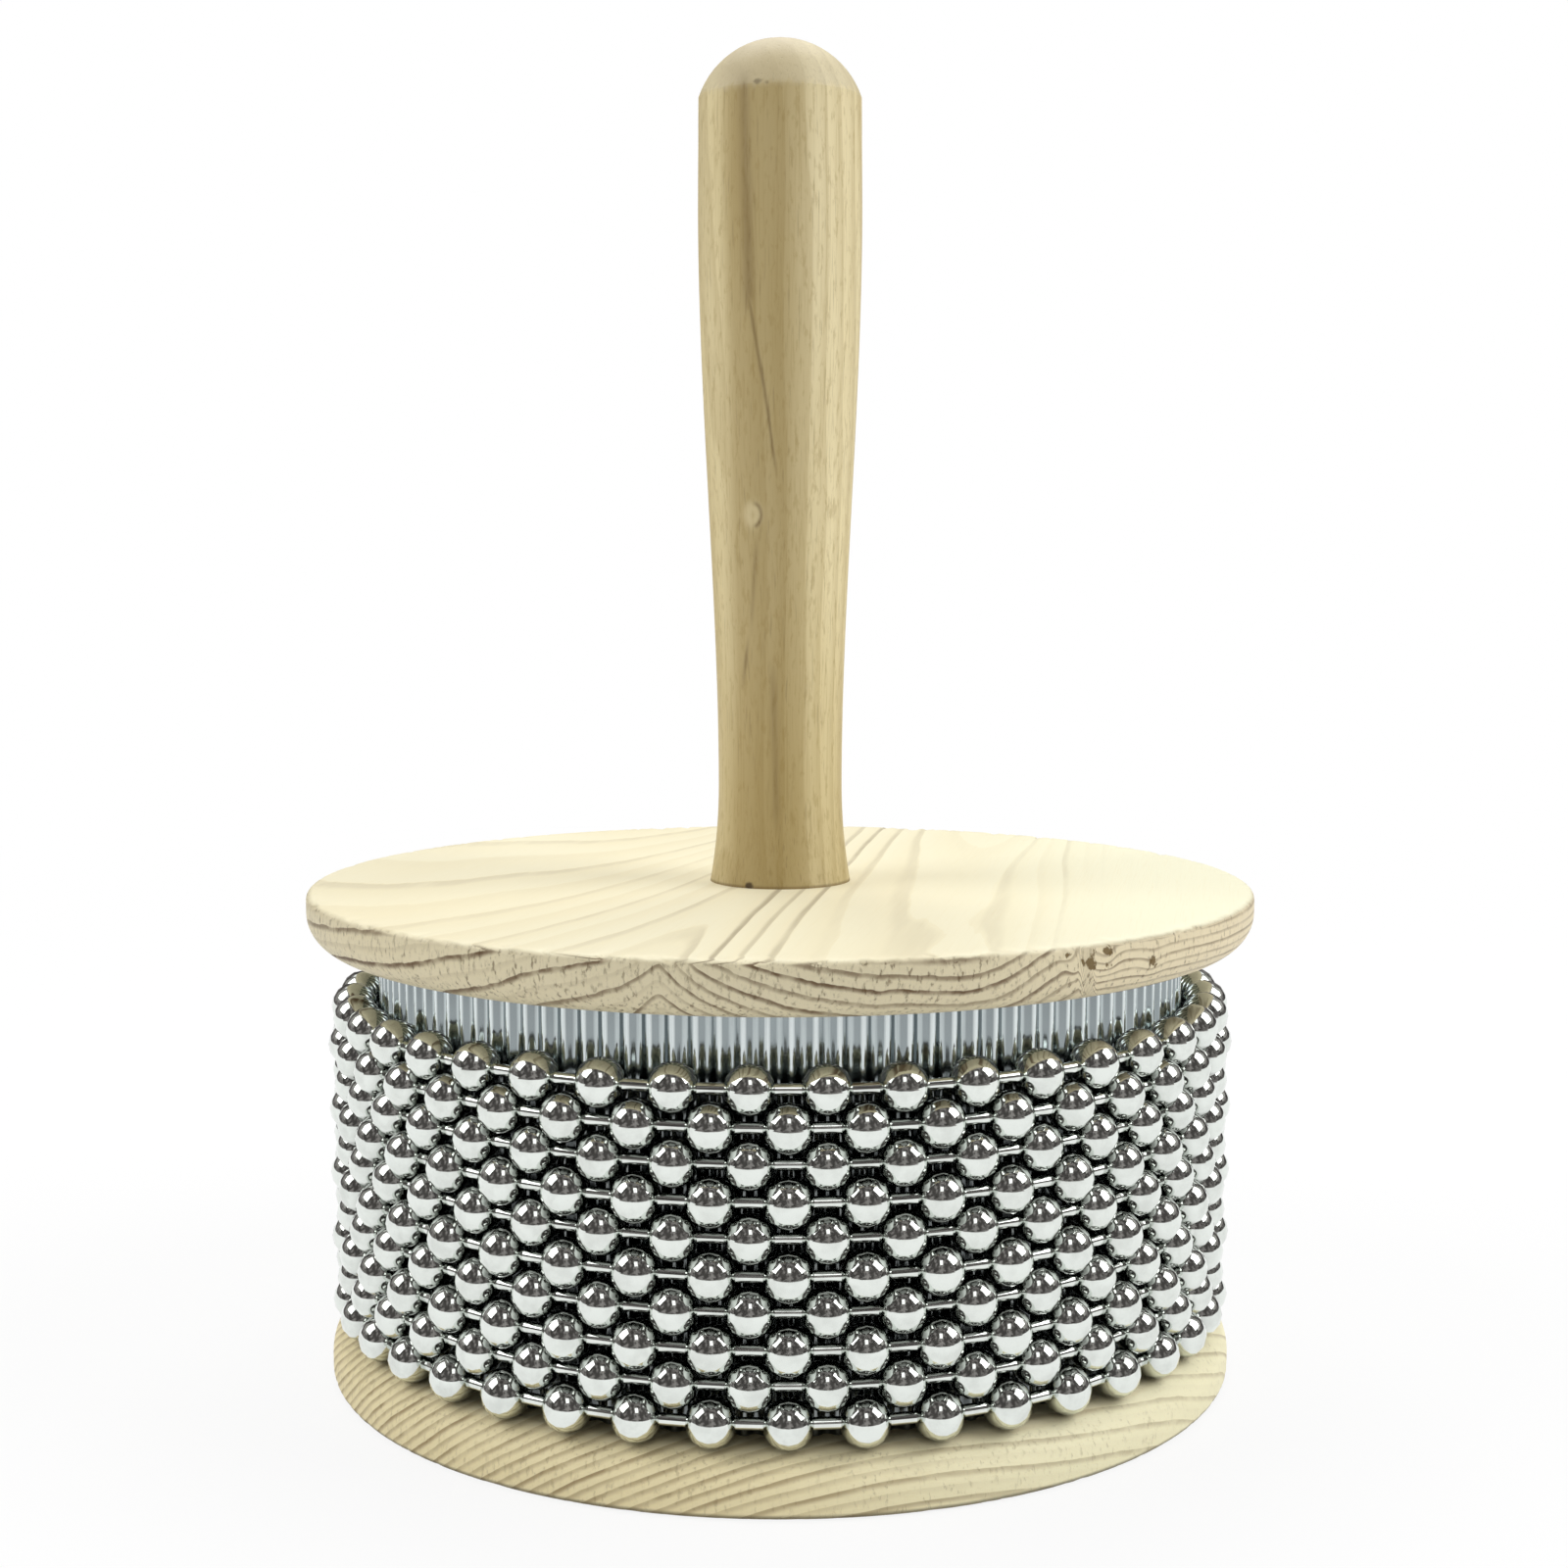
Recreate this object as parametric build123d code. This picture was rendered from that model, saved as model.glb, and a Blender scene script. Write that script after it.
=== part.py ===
from build123d import *
import math
import os

# Wooden cabasa. Sizes in millimetres, angles in degrees.
# The underside rests at z = 0, and +Z runs up the axis of the drum and the handle.

# Ball chain: closed loops of hollow balls joined by headed wire links
loop_count = 10
ball_diameter = 5.8
ball_wall = 0.3
link_gap = 2.8  # bare wire between two balls
link_wire = 1.2
link_head_diameter = 1.9
link_head_length = 0.6
wire_clearance = 0.15  # round the wire in a ball's hole
head_play = 0.12  # between a link's head and the wall of its ball
row_share = 0.725  # spacing of the loops, in ball diameters
row_stagger = 0.4  # every other loop lies this much further out
row_seat = 0.1  # under the balls of the lowest loop
free_lift = 5.6  # from the top loop up to the upper disc
chain_phase = 1.0  # angle of the lowest loop's front ball

# Steel sleeve with vertical ribs, rolled from one strip
sleeve_diameter = 105.8  # over the ridges
rib_pitch = 2.7
rib_depth = 0.7
sheet_thickness = 0.4
sleeve_end_gap = 0.2
seam_gap = 0.4
chain_clearance = 0.3  # from the ridges to the balls of the inner loops

# Wooden core under the sleeve
core_clearance = 0.1

# Wooden discs, with a sharp outer edge and a quarter round towards the drum
disc_thickness = 7.0
top_overhang = 9.1  # beyond the ridges of the sleeve
bottom_overhang = 6.7
arris_radius = 0.9
edge_rounding = 4.5

# Turned handle with a tenon below its foot
handle_length = 109.1
foot_diameter = 18.6
waist_diameter = 16.3
waist_height = 13.0
belly_diameter = 21.3
barrel_length = 14.6  # almost straight stretch below the dome
barrel_taper = 0.1
dome_height = 7.5
tenon_diameter = 12.0
tenon_length = 25.0
tenon_clearance = 0.1
tenon_end_gap = 1.0

# Countersunk wood screw from the underside into the handle
screw_diameter = 5.0
screw_length = 70.0
screw_head_diameter = 9.6
screw_recess = 0.4
screw_tip_length = 5.0
screw_clearance = 0.1
screw_end_gap = 2.0
cross_width = 1.1
cross_length = 5.2
cross_depth = 1.5

# Counts, heights and radii that follow from the sizes above
ball_radius = ball_diameter / 2
cavity_radius = ball_radius - ball_wall
row_pitch = row_share * ball_diameter
stack_height = row_seat + ball_diameter + (loop_count - 1) * row_pitch
drum_height = stack_height + free_lift
drum_top = disc_thickness + drum_height
handle_base = drum_top + disc_thickness
sleeve_radius = sleeve_diameter / 2
core_radius = sleeve_radius - rib_depth - sheet_thickness - core_clearance
inner_ring_radius = sleeve_radius + chain_clearance + ball_radius
balls_per_loop = round(2 * math.pi * inner_ring_radius / (ball_diameter + link_gap))
ball_step = 360 / balls_per_loop
rib_count = round(math.pi * sleeve_diameter / rib_pitch)
quarter_round = min(edge_rounding, disc_thickness - 2 * arris_radius)


def disc(radius, outer_face_up):
    blank = Pos(0, 0, disc_thickness / 2) * Cylinder(radius, disc_thickness)
    rims = blank.edges().filter_by(GeomType.CIRCLE).sort_by(Axis.Z)
    outer_rim, inner_rim = (rims[-1], rims[0]) if outer_face_up else (rims[0], rims[-1])
    rounded = fillet(inner_rim, quarter_round)
    outer_z = outer_rim.center().Z
    sharp_rim = rounded.edges().filter_by(GeomType.CIRCLE).filter_by_position(Axis.Z, outer_z, outer_z)
    return fillet(sharp_rim, arris_radius)


def turned(points):
    return revolve(Plane.XZ * make_face(Polyline(*points, close=True)), Axis.Z)


def bore(diameter, clearance, bottom, top):
    height = top - bottom
    return Pos(0, 0, bottom + height / 2) * Cylinder(diameter / 2 + clearance, height)


def countersink():
    seat_radius = screw_head_diameter / 2 + screw_clearance
    hole_radius = screw_diameter / 2 + screw_clearance
    mouth_radius = seat_radius + screw_recess
    return turned([(0, 0), (mouth_radius, 0), (hole_radius, mouth_radius - hole_radius),
                   (0, mouth_radius - hole_radius)])


def top_disc():
    blank = Pos(0, 0, drum_top) * disc(sleeve_radius + top_overhang, True)
    return blank - bore(tenon_diameter, tenon_clearance, drum_top, handle_base)


def bottom_disc():
    blank = disc(sleeve_radius + bottom_overhang, False)
    return blank - countersink() - bore(screw_diameter, screw_clearance, 0, disc_thickness)


def drum_core():
    blank = Pos(0, 0, disc_thickness + drum_height / 2) * Cylinder(core_radius, drum_height)
    mortise_floor = handle_base - tenon_length - tenon_end_gap
    mortise = bore(tenon_diameter, tenon_clearance, mortise_floor, drum_top)
    return blank - mortise - bore(screw_diameter, screw_clearance, disc_thickness, mortise_floor)


def rib_wave(ridge_radius):
    # Alternate ridge and valley arcs, each a half of one rib wide
    mean_radius = ridge_radius - rib_depth / 2
    quarter = 360 / rib_count / 4
    arcs = []
    for rib in range(rib_count):
        ridge_angle = rib * 4 * quarter
        at = [(mean_radius, -1), (ridge_radius, 0), (mean_radius, 1), (ridge_radius - rib_depth, 2),
              (mean_radius, 3)]
        stations = [(r * math.cos(math.radians(ridge_angle + n * quarter)),
                     r * math.sin(math.radians(ridge_angle + n * quarter))) for r, n in at]
        arcs.append(ThreePointArc(*stations[0:3]))
        arcs.append(ThreePointArc(*stations[2:5]))
    return make_face(arcs)


def ribbed_sleeve():
    height = drum_height - 2 * sleeve_end_gap
    section = rib_wave(sleeve_radius) - rib_wave(sleeve_radius - sheet_thickness)
    sheet = Pos(0, 0, disc_thickness + sleeve_end_gap) * extrude(section, height)
    seam = Pos(0, sleeve_radius, disc_thickness + drum_height / 2) * Box(seam_gap, 4 * rib_depth, drum_height)
    return sheet - seam


def handle():
    foot = (foot_diameter / 2, handle_base)
    waist = (waist_diameter / 2, handle_base + waist_height)
    shoulder = (belly_diameter / 2 - barrel_taper, handle_base + handle_length - dome_height)
    belly = (belly_diameter / 2, shoulder[1] - barrel_length)
    apex = (0, handle_base + handle_length)
    dome_radius = (shoulder[0] ** 2 + dome_height ** 2) / (2 * dome_height)
    tenon_radius = tenon_diameter / 2
    tenon_end = handle_base - tenon_length
    outline = [
        Polyline(apex, (0, tenon_end), (tenon_radius, tenon_end), (tenon_radius, handle_base), foot),
        TangentArc(waist, foot, tangent=(0, -1)),
        Spline(waist, belly, tangents=[(0, 1), (0, 1)]),
        Line(belly, shoulder),
        RadiusArc(shoulder, apex, -dome_radius),
    ]
    blank = revolve(Plane.XZ * make_face(outline), Axis.Z)
    pilot_top = screw_recess + screw_length + screw_end_gap
    return blank - bore(screw_diameter, screw_clearance, tenon_end, pilot_top)


def handle_screw():
    shank_radius = screw_diameter / 2
    head_radius = screw_head_diameter / 2
    tip = screw_recess + screw_length
    neck = screw_recess + head_radius - shank_radius
    shaft = turned([(0, screw_recess), (head_radius, screw_recess), (shank_radius, neck),
                    (shank_radius, tip - screw_tip_length), (0, tip)])
    slot = Pos(0, 0, screw_recess + cross_depth / 2) * Box(cross_length, cross_width, cross_depth)
    return shaft - slot - Rot(0, 0, 90) * slot


def hollow_ball():
    # Local frame: X along the loop, Y away from the drum; both holes lean in towards the next balls
    shell = Rot(0, 0, 90) * (Sphere(ball_radius) - Sphere(cavity_radius))
    lean = math.radians(ball_step / 2)
    for side in (1, -1):
        towards_next = (side * math.cos(lean), -math.sin(lean), 0)
        hole = Cylinder(link_wire / 2 + wire_clearance, ball_diameter,
                        align=(Align.CENTER, Align.CENTER, Align.MIN))
        shell -= Plane((0, 0, 0), z_dir=towards_next) * hole
    return shell.solid()


def chain_link(chord):
    wire_radius = link_wire / 2
    head_radius = link_head_diameter / 2
    neck = chord / 2 - math.sqrt(cavity_radius ** 2 - head_radius ** 2) + head_play
    end = neck + link_head_length
    outline = Polyline((-end, 0), (-end, head_radius), (-neck, head_radius), (-neck, wire_radius),
                       (neck, wire_radius), (neck, head_radius), (end, head_radius), (end, 0), close=True)
    return revolve(make_face(outline), Axis.X).solid()


def chain_loop(row, ball):
    staggered = row % 2
    ring_radius = inner_ring_radius + (0 if staggered else row_stagger)
    height = disc_thickness + row_seat + ball_radius + row * row_pitch
    start = -90 + chain_phase + (ball_step / 2 if staggered else 0)
    half_step = math.radians(ball_step / 2)
    link = chain_link(2 * ring_radius * math.sin(half_step))
    link_radius = ring_radius * math.cos(half_step)
    balls = []
    links = []
    for index in range(balls_per_loop):
        turn = start + index * ball_step
        balls.append(Rot(0, 0, turn - 90) * Pos(0, ring_radius, height) * ball)
        links.append(Rot(0, 0, turn + ball_step / 2 - 90) * Pos(0, link_radius, height) * link)
    return Compound(balls), Compound(links)


nodes = {
    "handle": handle(),
    "top_disc": top_disc(),
    "bottom_disc": bottom_disc(),
    "drum_core": drum_core(),
    "ribbed_sleeve": ribbed_sleeve(),
    "handle_screw": handle_screw(),
}
chain_ball = hollow_ball()
for row in range(loop_count):
    name = f"loop_{row + 1:02d}"
    nodes[f"{name}_balls"], nodes[f"{name}_links"] = chain_loop(row, chain_ball)

os.makedirs("parts", exist_ok=True)
for name, shape in nodes.items():
    shape.label = name
    export_step(shape, f"parts/{name}.step")
print(f"{len(nodes)} nodes, height {handle_base + handle_length:.1f} mm, drum {drum_height:.1f} mm")
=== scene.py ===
import bpy
import bmesh
import math
from types import SimpleNamespace
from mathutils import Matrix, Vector, noise


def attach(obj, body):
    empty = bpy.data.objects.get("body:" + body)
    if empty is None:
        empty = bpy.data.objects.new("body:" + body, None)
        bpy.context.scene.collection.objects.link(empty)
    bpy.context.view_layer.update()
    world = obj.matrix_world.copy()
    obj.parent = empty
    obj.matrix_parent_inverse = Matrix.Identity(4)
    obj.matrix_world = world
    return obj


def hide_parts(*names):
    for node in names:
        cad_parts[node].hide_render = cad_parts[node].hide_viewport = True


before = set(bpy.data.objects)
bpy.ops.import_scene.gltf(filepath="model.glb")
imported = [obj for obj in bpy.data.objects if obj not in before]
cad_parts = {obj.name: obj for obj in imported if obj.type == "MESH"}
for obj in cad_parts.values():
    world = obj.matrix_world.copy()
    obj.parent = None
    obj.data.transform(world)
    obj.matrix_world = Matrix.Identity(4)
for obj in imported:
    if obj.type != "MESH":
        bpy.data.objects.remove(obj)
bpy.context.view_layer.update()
mm = 0.001
scene = bpy.context.scene


# node trees: one wrapped socket, with sums written as plain expressions
class Wire:
    def __init__(self, tree, socket=None):
        self.tree = tree
        self.socket = socket

    def feed(self, target, value):
        if isinstance(value, Wire):
            self.tree.links.new(value.socket, target)
        else:
            target.default_value = value

    def make(self, kind, inputs=None, settings=None, out=0):
        node = self.tree.nodes.new(kind)
        for name, value in (settings or {}).items():
            setattr(node, name, value)
        for key, value in (inputs or {}).items():
            self.feed(node.inputs[key], value)
        if isinstance(out, tuple):
            return [Wire(self.tree, node.outputs[key]) for key in out]
        return Wire(self.tree, node.outputs[out]) if len(node.outputs) else node

    def sum(self, operation, *values):
        return self.make("ShaderNodeMath", dict(enumerate(values)), {"operation": operation})

    def vec(self, operation, *values, out=0):
        return self.make("ShaderNodeVectorMath", dict(enumerate(values)), {"operation": operation}, out)

    def __add__(self, other):
        return self.sum("ADD", self, other)

    def __radd__(self, other):
        return self.sum("ADD", other, self)

    def __sub__(self, other):
        return self.sum("SUBTRACT", self, other)

    def __rsub__(self, other):
        return self.sum("SUBTRACT", other, self)

    def __mul__(self, other):
        return self.sum("MULTIPLY", self, other)

    def __truediv__(self, other):
        return self.sum("DIVIDE", self, other)

    def __rtruediv__(self, other):
        return self.sum("DIVIDE", other, self)

    def __neg__(self):
        return self.sum("MULTIPLY", self, -1.0)

    def highest(self, other):
        return self.sum("MAXIMUM", self, other)

    def hypot(self, other):
        return self.sum("SQRT", self * self + other * other)

    def centred(self):  # noise from 0 to 1, swung about zero
        return self - 0.5

    def blend(self, atNone, atFull):  # straight ramp by a share from 0 to 1
        return atNone + self * (atFull - atNone)

    def step(self, low, high, toLow=0.0, toHigh=1.0):  # smooth ramp between two values
        return self.make("ShaderNodeMapRange", {"Value": self, "From Min": low, "From Max": high,
                                                "To Min": toLow, "To Max": toHigh},
                         {"interpolation_type": "SMOOTHSTEP"})

    def band(self, centre, width):  # soft bump, 1 at the centre
        off = (self - centre) / width
        return self.sum("EXPONENT", -(off * off))

    def ramp(self, stops):  # colours by place
        colours = self.make("ShaderNodeValToRGB", {0: self})
        elements = colours.socket.node.color_ramp.elements
        while len(elements) < len(stops):
            elements.new(0.5)
        for element, (place, colour) in zip(elements, stops):
            element.position = place
            element.color = colour
        return colours

    # for wires that carry vectors
    def split(self):
        return self.make("ShaderNodeSeparateXYZ", {0: self}, out=("X", "Y", "Z"))

    def join(self, **axes):
        return self.make("ShaderNodeCombineXYZ", axes)

    def scaled(self, factor):
        return self.make("ShaderNodeVectorMath", {0: self, "Scale": factor}, {"operation": "SCALE"})

    def length(self):
        return self.vec("LENGTH", self, out="Value")

    def dot(self, other):
        return self.vec("DOT_PRODUCT", self, other, out="Value")

    def farFrom(self, place, stretch=(1.0, 1.0, 1.0)):
        return self.vec("MULTIPLY", self.vec("SUBTRACT", self, place), stretch).length()


def strongest(masks):
    top = masks[0]
    for mask in masks[1:]:
        top = top.highest(mask)
    return top


def paint(wire, colour, layers):  # lays further colours over the first, each by its own mask
    for mask, layer in layers:
        colour = wire.make("ShaderNodeMix", {0: mask, 6: colour, 7: layer}, {"data_type": "RGBA"}, 2)
    return colour


def cloud(wire, place, stretch, detail, rough=0.5):  # noise with its own scale on each axis
    return wire.make("ShaderNodeTexNoise", {"Vector": wire.vec("MULTIPLY", place, stretch), "Scale": 1.0,
                                            "Detail": detail, "Roughness": rough}, out="Fac")


def clouds(wire, place, table):
    return {kind: cloud(wire, place, *values) for kind, values in table.items()}


def tone(red, green, blue):  # screen colour from 0 to 255 as linear light
    def linear(value):
        part = value / 255
        return part / 12.92 if part <= 0.04045 else ((part + 0.055) / 1.055) ** 2.4
    return (linear(red), linear(green), linear(blue), 1.0)


def grey(value):
    return (value, value, value, 1.0)


def newMaterial(name):
    mat = bpy.data.materials.new(name)
    mat.use_nodes = True
    tree = mat.node_tree
    shader = next(n for n in tree.nodes if n.type == "BSDF_PRINCIPLED")
    return mat, Wire(tree), shader


def placeOn(wire):
    return wire.make("ShaderNodeTexCoord", out="Object")


def millimetres(wire):
    return placeOn(wire).scaled(1 / mm)


def finishWith(wire, shader, colour, roughness, height, bump):
    strength, distance = bump
    relief = wire.make("ShaderNodeBump", {"Height": height, "Strength": strength, "Distance": distance})
    for name, value in (("Base Color", colour), ("Roughness", roughness), ("Normal", relief)):
        wire.feed(shader.inputs[name], value)


# wood of the two discs: growth rings cut by the board, so that lines on the face and arches on the rim agree
# colours, the board, its rings, their arches, their run along the grain, the strength of the lines
topPine = {
    "pale": tone(247, 240, 210), "warm": tone(238, 226, 188), "rim": tone(218, 206, 172),
    "line": tone(92, 62, 30), "knot": tone(104, 80, 30), "pit": tone(98, 76, 46),
    "second": tone(238, 223, 188), "paleFace": tone(250, 249, 221),
    "face": 63.345, "seam": 43.5, "paleFrom": 22.0, "grainTurn": 11.0, "torn": 0.58, "gloss": 0.42,
    "ringPitch": 1.3, "ringFrom": 63.8, "wander": 2.2, "leftScale": 0.68, "rightScale": 0.76,
    "peak": -1.2, "crest": 5.0, "leftDepth": 14.0, "rightDepth": 9.5, "leftFall": 13.5, "rightFall": 8.4,
    "riseFrom": 20.5, "riseBend": 0.018,
    "drift": 0.02, "leftDrift": 0.05, "rightDrift": 0.05, "paleDrift": 0.0, "slant": 0.0, "curve": 0.0,
    "lineDepth": 0.95, "lineFrom": 0.52, "faceFiner": 0.13, "faceLine": 0.15,
    "between": 0.15, "rightBetween": 0.8, "fewer": 0.0,
    # x, y, height and radius
    "knots": [(34.6, -51.5, 61.5, 0.9), (36.7, -49.9, 62.2, 0.65), (36.8, -49.9, 60.7, 0.65),
              (42.7, -44.9, 60.0, 0.8), (32.0, -53.1, 62.5, 0.45), (32.9, -52.5, 60.6, 0.45)],
}
bottomPine = {
    "pale": tone(246, 236, 200), "warm": tone(234, 214, 160), "rim": tone(248, 234, 187),
    "line": tone(126, 94, 46), "knot": tone(104, 80, 30), "pit": tone(120, 92, 54),
    "second": tone(255, 250, 214), "paleFace": tone(246, 236, 200), "contactShadow": tone(92, 82, 58),
    "face": 7.0, "seam": 200.0, "paleFrom": 0.0, "grainTurn": -90.0, "torn": 0.18, "gloss": 0.45,
    "ringPitch": 1.45, "ringFrom": 0.0, "wander": 3.2, "leftScale": 1.0, "rightScale": 1.0,
    "peak": 80.0, "crest": 0.0, "leftDepth": 0.0, "rightDepth": 0.0, "leftFall": 10.0, "rightFall": 10.0,
    "riseFrom": 0.0, "riseBend": 0.004,
    "drift": 0.30, "leftDrift": 0.0, "rightDrift": 0.0, "paleDrift": 0.15, "slant": 0.42, "curve": 0.0032,
    "lineDepth": 0.74, "lineFrom": 0.36, "faceFiner": 0.0, "faceLine": 0.5,
    "between": 0.7, "rightBetween": 0.7, "fewer": 0.9,
    "contactShadowHeight": (0.36, 0.9), "contactShadowRadius": (58.4, 58.9),
    "knots": [],
}
corePine = dict(topPine, ringPitch=3.0, knots=[], grainTurn=40.0, seam=200.0)
# noise in a board: stretch across, along and up, then detail and roughness
grainNoise = {
    "slow": ((0.035, 0.010, 0.05), 1.0), "middle": ((0.16, 0.03, 0.16), 2.0), "fine": ((0.9, 0.06, 0.9), 2.0),
    "fibres": ((5.5, 0.10, 5.5), 3.0, 0.65), "breaks": ((0.5, 0.05, 0.5), 2.0),
}
# noise of the torn rim, along the part's own axes
tearNoise = {
    "ragged": ((1.4, 1.4, 1.0), 3.0), "tears": ((2.0, 2.0, 0.85), 3.0, 0.6),
    "patches": ((0.14, 0.14, 0.30), 1.0),
}
# where a change begins and ends: millimetres from its place, or a share of a ring or of a noise
pineSpan = {
    "face": (-0.60, -0.05), "paleLitSide": (-12.0, 38.0), "second": (-1.0, 1.0), "quiet": (-7.5, -1.0),
    "peak": (-2.0, 2.0), "scale": (-4.0, 0.0), "leftDrift": (-18.0, 2.0), "rightDrift": (24.0, 38.0),
    "closer": (0.0, 6.0), "early": (0.0, 0.9), "lineEnd": (0.94, 1.0), "breaks": (0.25, 0.60),
    "pits": (0.57, 0.68), "patches": (0.36, 0.62), "torn": (0.48, 0.66), "fibres": (0.52, 0.72),
}
pineRing = {"crest": 0.6, "secondBoard": (-0.03, 0.02, 1.3), "start": 0.88,
            "middle": 0.7, "fine": 0.25, "onFace": 0.4,
            "knotReach": 2.4, "knotLift": 0.8, "knotCore": 0.5, "knotFine": 1.6, "knotRagged": 4.0}
# lines crowd on the face in two bands, each by its middle and its width
pineLine = {"darkest": 0.86, "leastChance": 0.72, "leastBroken": 0.5, "paleRim": 0.4,
            "closerFace": (6.0, 7.0), "bunchFace": (5.0, 7.0), "bunch": 2.8}
pineCoat = {"quiet": 0.95, "warm": 0.1, "early": 0.35, "slow": 0.9, "rim": 0.8, "torn": 0.35, "second": 0.6,
            "paleRim": 0.8, "paleFace": 0.7, "fibres": 0.22, "leastPits": 0.35, "knots": 0.9, "contactShadow": 0.75}
pineRelief = {"faceFibres": 0.25, "rimFibres": 0.5, "pits": 1.2, "lines": 0.35, "knots": 2.0,
              "roughFibres": 0.22, "roughLines": 0.08, "bump": (0.45, 0.0002), "specular": 0.35}


def pineBoard(wire, look):  # where a point lies on the part and in its board
    spot = millimetres(wire)
    x, y = spot.split()[:2]
    turn = (0.0, 0.0, math.radians(look["grainTurn"]))
    board = wire.make("ShaderNodeMapping", {"Vector": spot, "Rotation": turn})
    across, along, up = board.split()
    face = (up - look["face"]).step(*pineSpan["face"])
    fromSeam = across - look["seam"]
    return SimpleNamespace(
        spot=spot, board=board, across=across, along=along, up=up, out=x.hypot(y),
        face=face, rim=1.0 - face, off=across - look["peak"],
        # the right side is paler: partly paler wood, partly painted light from the right
        paleLitSide=(x - look["paleFrom"]).step(*pineSpan["paleLitSide"]),
        second=fromSeam.step(*pineSpan["second"]) * (1.0 - face),  # the next board of the glued panel
        quiet=1.0 - fromSeam.step(*pineSpan["quiet"]) * face * pineCoat["quiet"],
        **clouds(wire, board, grainNoise), **clouds(wire, spot, tearNoise))


def growthRings(wire, look, at):  # number of the ring at each point, and the knots that the rings bend round
    # the rings fall away on both sides of a peak, and rise again further right
    soft = pineRing["crest"] + at.face * look["crest"]  # a sharp crest on the rim, a broad one on the face
    away = at.off.hypot(soft) - soft
    width = at.off.step(*pineSpan["peak"], look["leftFall"], look["rightFall"])
    depth = at.off.step(*pineSpan["peak"], look["leftDepth"], look["rightDepth"])
    bend = (at.across - look["riseFrom"]).highest(0.0)
    arch = (wire.sum("EXPONENT", -(away / width)) - 1.0) * depth + bend * bend * look["riseBend"]
    left = 1.0 - at.off.step(*pineSpan["leftDrift"])
    right = at.off.step(*pineSpan["rightDrift"])
    sweep = look["drift"] + left * look["leftDrift"] - right * look["rightDrift"]
    sweep = sweep - at.paleLitSide * look["paleDrift"]
    beyond = at.along.highest(0.0)
    scale = at.off.step(*pineSpan["scale"], look["leftScale"], look["rightScale"])  # below 1, rings lie apart
    field = look["face"] + (at.up - look["face"] - arch) * scale
    field = field + at.along * sweep + at.across * look["slant"] + beyond * beyond * look["curve"]
    field = field + (at.board.dot(pineRing["secondBoard"]) - field) * at.second
    finer = at.middle.centred() * pineRing["middle"] + at.fine.centred() * pineRing["fine"]
    field = field + at.slow.centred() * look["wander"] + finer * at.face.blend(1.0, pineRing["onFace"])
    ragged = at.fine.centred() * pineRing["knotFine"] + at.ragged.centred() * pineRing["knotRagged"]
    knots = []
    for *place, radius in look["knots"]:
        far = at.spot.farFrom(place)
        field = field + far.band(0.0, radius * pineRing["knotReach"]) * pineRing["knotLift"]
        knots.append(1.0 - (far + ragged * radius).step(radius * pineRing["knotCore"], radius))
    rings = (field - look["ringFrom"]) / look["ringPitch"] + pineRing["start"]
    return rings, strongest(knots) if knots else 0.0


def ringLines(wire, look, at, rings):  # late wood at the end of each ring, fainter on every other one
    part = wire.sum("FRACT", rings)
    count = wire.sum("FLOOR", rings)
    odd = wire.sum("FLOORED_MODULO", count, 2.0)
    chance = wire.make("ShaderNodeTexWhiteNoise", {"W": count}, {"noise_dimensions": "1D"}, "Value")
    lineFrom = look["lineFrom"] + at.face * look["faceFiner"]
    late = part.step(lineFrom, pineLine["darkest"]) * (1.0 - part.step(*pineSpan["lineEnd"]))
    closer = at.rim * at.off.step(*pineSpan["closer"]) + at.face * at.off.band(*pineLine["closerFace"])
    faint = closer.blend(look["between"], look["rightBetween"]) * (1.0 - at.paleLitSide * look["fewer"])
    late = late * (1.0 - odd * (1.0 - faint)) * chance.blend(pineLine["leastChance"], 1.0)
    broken = at.breaks.step(*pineSpan["breaks"], pineLine["leastBroken"], 1.0)
    bunch = 1.0 + at.off.band(*pineLine["bunchFace"]) * pineLine["bunch"]
    strength = at.rim * look["lineDepth"] + at.face * at.quiet * bunch * look["faceLine"]
    return part, late * broken * strength * (1.0 - at.paleLitSide * at.rim * pineLine["paleRim"])


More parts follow.
